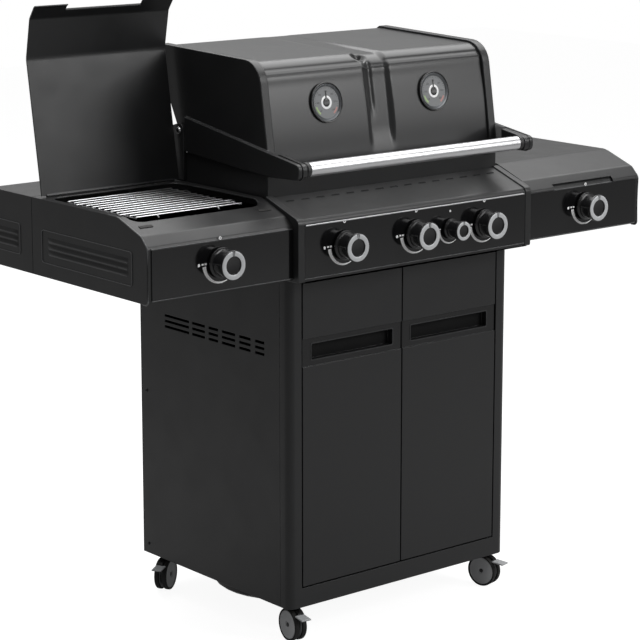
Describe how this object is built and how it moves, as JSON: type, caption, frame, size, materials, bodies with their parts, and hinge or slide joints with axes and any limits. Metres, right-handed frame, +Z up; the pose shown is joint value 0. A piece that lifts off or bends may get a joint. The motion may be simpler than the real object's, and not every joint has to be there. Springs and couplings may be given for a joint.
{
  "type": "gas barbecue grill",
  "caption": "Gas grill on a cabinet cart: hinged main lid with thermometers, lidded burners on both side shelves, control knobs, twin doors and braked casters.",
  "frame": {"origin": "centre of the bounding box on the floor", "axes": "+X to the right seen from the front, +Y to the back, +Z up"},
  "size_m": [1.326, 0.6022, 1.2923],
  "materials": {
    "powder_black": "satin black powder coat",
    "gloss_enamel": "gloss black enamel",
    "stainless": "brushed",
    "cast_iron": "matt enamelled",
    "aluminium": "as cast",
    "gauge_steel": "satin",
    "knob_plastic": "gloss black with a light grey ring",
    "black_plastic": "moulded",
    "wheel_rubber": "tread with grey hub covers",
    "pedal_grey": "moulded"
  },
  "bodies": {
    "cart": {"base_tray": "powder_black", "left_side_panel": "powder_black", "right_side_panel": "powder_black", "back_panel": "powder_black", "front_frame": "powder_black", "control_console": "powder_black", "console_fascia": "gloss_enamel", "left_shelf": "powder_black", "right_shelf": "powder_black", "left_shelf_fascia": "gloss_enamel", "right_shelf_fascia": "gloss_enamel", "left_side_burner": "cast_iron", "right_side_burner": "cast_iron", "left_side_grate": "stainless", "right_side_grate": "stainless", "firebox": "powder_black", "left_burner": "stainless", "middle_burner": "stainless", "right_burner": "stainless", "left_cooking_grate": "cast_iron", "right_cooking_grate": "cast_iron", "warming_rack": "stainless", "gas_manifold": "aluminium"},
    "main_lid": {"lid_skin": "powder_black", "left_lid_end": "powder_black", "right_lid_end": "powder_black", "lid_handle": "stainless", "left_thermometer": "gauge_steel", "right_thermometer": "gauge_steel"},
    "left_needle": {"left_needle": "black_plastic"},
    "right_needle": {"right_needle": "black_plastic"},
    "left_burner_lid": {"left_burner_lid": "powder_black"},
    "right_burner_lid": {"right_burner_lid": "powder_black"},
    "left_door": {"left_door": "powder_black"},
    "right_door": {"right_door": "powder_black"},
    "grease_tray": {"grease_tray": "stainless"},
    "knob_1_stem": {"knob_1_stem": "stainless"},
    "knob_1": {"knob_1": "knob_plastic"},
    "knob_2_stem": {"knob_2_stem": "stainless"},
    "knob_2": {"knob_2": "knob_plastic"},
    "knob_3_stem": {"knob_3_stem": "stainless"},
    "knob_3": {"knob_3": "knob_plastic"},
    "knob_4_stem": {"knob_4_stem": "stainless"},
    "knob_4": {"knob_4": "knob_plastic"},
    "knob_5_stem": {"knob_5_stem": "stainless"},
    "knob_5": {"knob_5": "knob_plastic"},
    "knob_6_stem": {"knob_6_stem": "stainless"},
    "knob_6": {"knob_6": "knob_plastic"},
    "front_left_caster": {"front_left_caster": "black_plastic"},
    "front_left_wheel": {"front_left_wheel": "wheel_rubber"},
    "front_left_pedal": {"front_left_pedal": "pedal_grey"},
    "front_right_caster": {"front_right_caster": "black_plastic"},
    "front_right_wheel": {"front_right_wheel": "wheel_rubber"},
    "front_right_pedal": {"front_right_pedal": "pedal_grey"},
    "rear_left_caster": {"rear_left_caster": "black_plastic"},
    "rear_left_wheel": {"rear_left_wheel": "wheel_rubber"},
    "rear_left_pedal": {"rear_left_pedal": "pedal_grey"},
    "rear_right_caster": {"rear_right_caster": "black_plastic"},
    "rear_right_wheel": {"rear_right_wheel": "wheel_rubber"},
    "rear_right_pedal": {"rear_right_pedal": "pedal_grey"}
  },
  "joints": [
    {"name": "main_lid_hinge", "type": "hinge", "parent": "cart", "child": "main_lid", "pos_m": [0, 0.12615, 1.02], "axis": [-1, 0, 0], "range_deg": [0, 80]},
    {"name": "left_needle_turn", "type": "hinge", "parent": "main_lid", "child": "left_needle", "pos_m": [-0.145, -0.1389, 1.08947], "axis": [0, -0.9877, 0.1564], "range_deg": [-135, 135]},
    {"name": "right_needle_turn", "type": "hinge", "parent": "main_lid", "child": "right_needle", "pos_m": [0.145, -0.1389, 1.08947], "axis": [0, -0.9877, 0.1564], "range_deg": [-135, 135]},
    {"name": "left_burner_lid_hinge", "type": "hinge", "parent": "cart", "child": "left_burner_lid", "pos_m": [-0.48815, 0.12215, 0.92], "axis": [-1, 0, 0], "range_deg": [-99.2, 0]},
    {"name": "right_burner_lid_hinge", "type": "hinge", "parent": "cart", "child": "right_burner_lid", "pos_m": [0.48815, 0.12215, 0.92], "axis": [-1, 0, 0], "range_deg": [0, 99.2]},
    {"name": "left_door_hinge", "type": "hinge", "parent": "cart", "child": "left_door", "pos_m": [-0.2535, -0.20285, 0.432], "axis": [0, 0, -1], "range_deg": [0, 110]},
    {"name": "right_door_hinge", "type": "hinge", "parent": "cart", "child": "right_door", "pos_m": [0.2535, -0.20285, 0.432], "axis": [0, 0, 1], "range_deg": [0, 110]},
    {"name": "grease_tray_slide", "type": "slide", "parent": "cart", "child": "grease_tray", "axis": [0, 1, 0], "range_m": [0, 0.3]},
    {"name": "knob_1_push", "type": "slide", "parent": "cart", "child": "knob_1_stem", "axis": [0, 1, 0], "range_m": [0, 0.003], "stiffness_N_per_m": 600, "springref_m": -0.003},
    {"name": "knob_1_turn", "type": "hinge", "parent": "knob_1_stem", "child": "knob_1", "pos_m": [-0.494, -0.28665, 0.8235], "axis": [0, -1, 0], "range_deg": [0, 210]},
    {"name": "knob_2_push", "type": "slide", "parent": "cart", "child": "knob_2_stem", "axis": [0, 1, 0], "range_m": [0, 0.003], "stiffness_N_per_m": 600, "springref_m": -0.003},
    {"name": "knob_2_turn", "type": "hinge", "parent": "knob_2_stem", "child": "knob_2", "pos_m": [-0.198, -0.30115, 0.8235], "axis": [0, -1, 0], "range_deg": [0, 210]},
    {"name": "knob_3_push", "type": "slide", "parent": "cart", "child": "knob_3_stem", "axis": [0, 1, 0], "range_m": [0, 0.003], "stiffness_N_per_m": 600, "springref_m": -0.003},
    {"name": "knob_3_turn", "type": "hinge", "parent": "knob_3_stem", "child": "knob_3", "pos_m": [-0.009, -0.30115, 0.8235], "axis": [0, -1, 0], "range_deg": [0, 210]},
    {"name": "knob_4_push", "type": "slide", "parent": "cart", "child": "knob_4_stem", "axis": [0, 1, 0], "range_m": [0, 0.003], "stiffness_N_per_m": 600, "springref_m": -0.003},
    {"name": "knob_4_turn", "type": "hinge", "parent": "knob_4_stem", "child": "knob_4", "pos_m": [0.0845, -0.30115, 0.8235], "axis": [0, -1, 0], "range_deg": [0, 210]},
    {"name": "knob_5_push", "type": "slide", "parent": "cart", "child": "knob_5_stem", "axis": [0, 1, 0], "range_m": [0, 0.003], "stiffness_N_per_m": 600, "springref_m": -0.003},
    {"name": "knob_5_turn", "type": "hinge", "parent": "knob_5_stem", "child": "knob_5", "pos_m": [0.18, -0.30115, 0.8235], "axis": [0, -1, 0], "range_deg": [0, 210]},
    {"name": "knob_6_push", "type": "slide", "parent": "cart", "child": "knob_6_stem", "axis": [0, 1, 0], "range_m": [0, 0.003], "stiffness_N_per_m": 600, "springref_m": -0.003},
    {"name": "knob_6_turn", "type": "hinge", "parent": "knob_6_stem", "child": "knob_6", "pos_m": [0.494, -0.28665, 0.8235], "axis": [0, -1, 0], "range_deg": [0, 210]},
    {"name": "front_left_swivel", "type": "hinge", "parent": "cart", "child": "front_left_caster", "pos_m": [-0.266, -0.16285, 0.0747], "axis": [0, 0, 1], "continuous": true},
    {"name": "front_left_roll", "type": "hinge", "parent": "front_left_caster", "child": "front_left_wheel", "pos_m": [-0.26841, -0.18069, 0.034], "axis": [0.991, -0.134, 0], "continuous": true},
    {"name": "front_left_brake", "type": "hinge", "parent": "front_left_caster", "child": "front_left_pedal", "pos_m": [-0.27277, -0.2129, 0.0575], "axis": [-0.991, 0.134, 0], "range_deg": [0, 18]},
    {"name": "front_right_swivel", "type": "hinge", "parent": "cart", "child": "front_right_caster", "pos_m": [0.266, -0.16285, 0.0747], "axis": [0, 0, 1], "continuous": true},
    {"name": "front_right_roll", "type": "hinge", "parent": "front_right_caster", "child": "front_right_wheel", "pos_m": [0.27005, -0.18039, 0.034], "axis": [0.9744, 0.225, 0], "continuous": true},
    {"name": "front_right_brake", "type": "hinge", "parent": "front_right_caster", "child": "front_right_pedal", "pos_m": [0.27736, -0.21206, 0.0575], "axis": [-0.9744, -0.225, 0], "range_deg": [0, 18]},
    {"name": "rear_left_swivel", "type": "hinge", "parent": "cart", "child": "rear_left_caster", "pos_m": [-0.266, 0.25115, 0.0747], "axis": [0, 0, 1], "continuous": true},
    {"name": "rear_left_roll", "type": "hinge", "parent": "rear_left_caster", "child": "rear_left_wheel", "pos_m": [-0.28126, 0.24161, 0.034], "axis": [0.5299, -0.848, 0], "continuous": true},
    {"name": "rear_left_brake", "type": "hinge", "parent": "rear_left_caster", "child": "rear_left_pedal", "pos_m": [-0.30883, 0.22439, 0.0575], "axis": [-0.5299, 0.848, 0], "range_deg": [0, 18]},
    {"name": "rear_right_swivel", "type": "hinge", "parent": "cart", "child": "rear_right_caster", "pos_m": [0.266, 0.25115, 0.0747], "axis": [0, 0, 1], "continuous": true},
    {"name": "rear_right_roll", "type": "hinge", "parent": "rear_right_caster", "child": "rear_right_wheel", "pos_m": [0.25984, 0.23424, 0.034], "axis": [0.9397, -0.342, 0], "continuous": true},
    {"name": "rear_right_brake", "type": "hinge", "parent": "rear_right_caster", "child": "rear_right_pedal", "pos_m": [0.24873, 0.2037, 0.0575], "axis": [-0.9397, 0.342, 0], "range_deg": [0, 18]}
  ]
}
